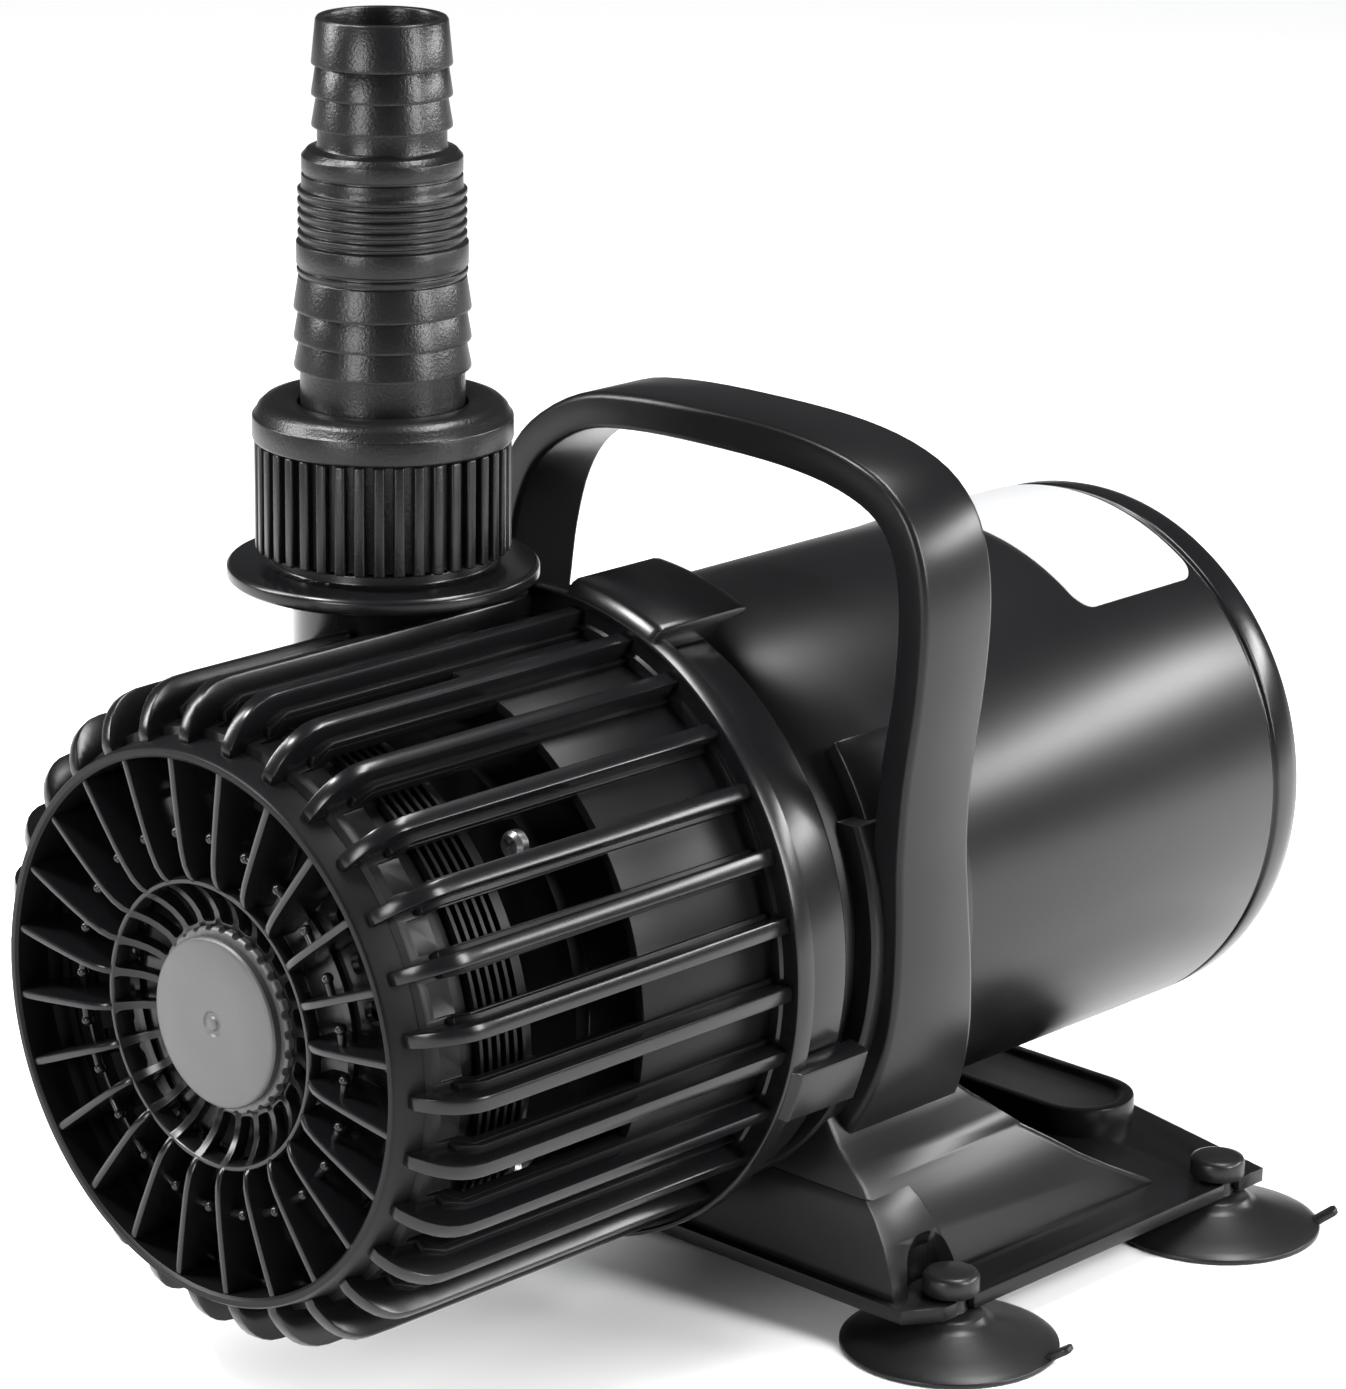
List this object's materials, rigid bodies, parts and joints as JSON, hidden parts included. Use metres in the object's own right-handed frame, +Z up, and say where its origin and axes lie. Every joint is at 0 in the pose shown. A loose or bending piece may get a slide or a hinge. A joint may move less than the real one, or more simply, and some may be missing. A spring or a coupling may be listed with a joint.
{
  "type": "fountain submersible pump",
  "caption": "Submersible fountain pump with a ribbed push-on strainer cage, plain round motor, carry handle stand on suction cups and a stepped threaded hose adapter.",
  "frame": {"origin": "centre of the overall box in plan, at the level of the suction cups' rims on the floor", "axes": "+Z up; the pump axis runs along +Y with the strainer's inlet at -Y and the rear cap at +Y; +X is to the right seen from the inlet"},
  "size_m": [0.203, 0.2816, 0.262],
  "materials": {
    "housing_plastic": "satin moulded black",
    "shell_plastic": "smooth satin black",
    "grained_plastic": "fine grained matte black",
    "rotor_plastic": "satin",
    "seal_rubber": "matte",
    "cup_rubber": "semi-gloss",
    "screw_steel": "plain stainless",
    "stator_steel": "stacked sheet",
    "winding": "enamelled copper wire",
    "magnet": "dull ferrite",
    "shaft_ceramic": "polished",
    "resin": "cast resin",
    "label_film": "blank printed film"
  },
  "bodies": {
    "pump": {"pump_housing": "housing_plastic", "chamber_cover": "housing_plastic", "cover_oring": "seal_rubber", "cover_screws": "screw_steel", "shaft": "shaft_ceramic", "front_bush": "seal_rubber", "rear_bush": "seal_rubber", "rotor_can": "rotor_plastic", "stator_core": "stator_steel", "stator_coils": "winding", "potting": "resin", "motor_shell": "shell_plastic", "rear_cap": "housing_plastic", "cap_oring": "seal_rubber", "gland_nut": "housing_plastic", "gland_seal": "seal_rubber", "rating_label": "label_film", "stand": "housing_plastic", "adapter_gasket": "seal_rubber"},
    "rotor": {"impeller": "rotor_plastic", "rotor_magnet": "magnet"},
    "cage": {"strainer_cage": "housing_plastic"},
    "nut": {"union_nut": "grained_plastic"},
    "adapter": {"hose_adapter": "grained_plastic"},
    "foot_front_right": {"cup_front_right": "cup_rubber"},
    "foot_front_left": {"cup_front_left": "cup_rubber"},
    "foot_rear_right": {"cup_rear_right": "cup_rubber"},
    "foot_rear_left": {"cup_rear_left": "cup_rubber"}
  },
  "joints": [
    {"name": "rotor_spin", "type": "hinge", "parent": "pump", "child": "rotor", "pos_m": [0, 0.0092, 0.082], "axis": [0, 1, 0], "continuous": true},
    {"name": "cage_pull", "type": "slide", "parent": "pump", "child": "cage", "axis": [0, -1, 0], "range_m": [0, 0.13]},
    {"name": "nut_turn", "type": "hinge", "parent": "pump", "child": "nut", "pos_m": [-0.028, -0.0655, 0.172], "axis": [0, 0, 1], "continuous": true},
    {"name": "adapter_swivel", "type": "hinge", "parent": "pump", "child": "adapter", "pos_m": [-0.028, -0.0655, 0.202], "axis": [0, 0, 1], "continuous": true},
    {"name": "foot_front_right_slide", "type": "slide", "parent": "pump", "child": "foot_front_right", "axis": [1, 0, 0], "range_m": [0, 0.02]},
    {"name": "foot_front_left_slide", "type": "slide", "parent": "pump", "child": "foot_front_left", "axis": [-1, 0, 0], "range_m": [0, 0.02]},
    {"name": "foot_rear_right_slide", "type": "slide", "parent": "pump", "child": "foot_rear_right", "axis": [1, 0, 0], "range_m": [0, 0.02]},
    {"name": "foot_rear_left_slide", "type": "slide", "parent": "pump", "child": "foot_rear_left", "axis": [-1, 0, 0], "range_m": [0, 0.02]}
  ]
}
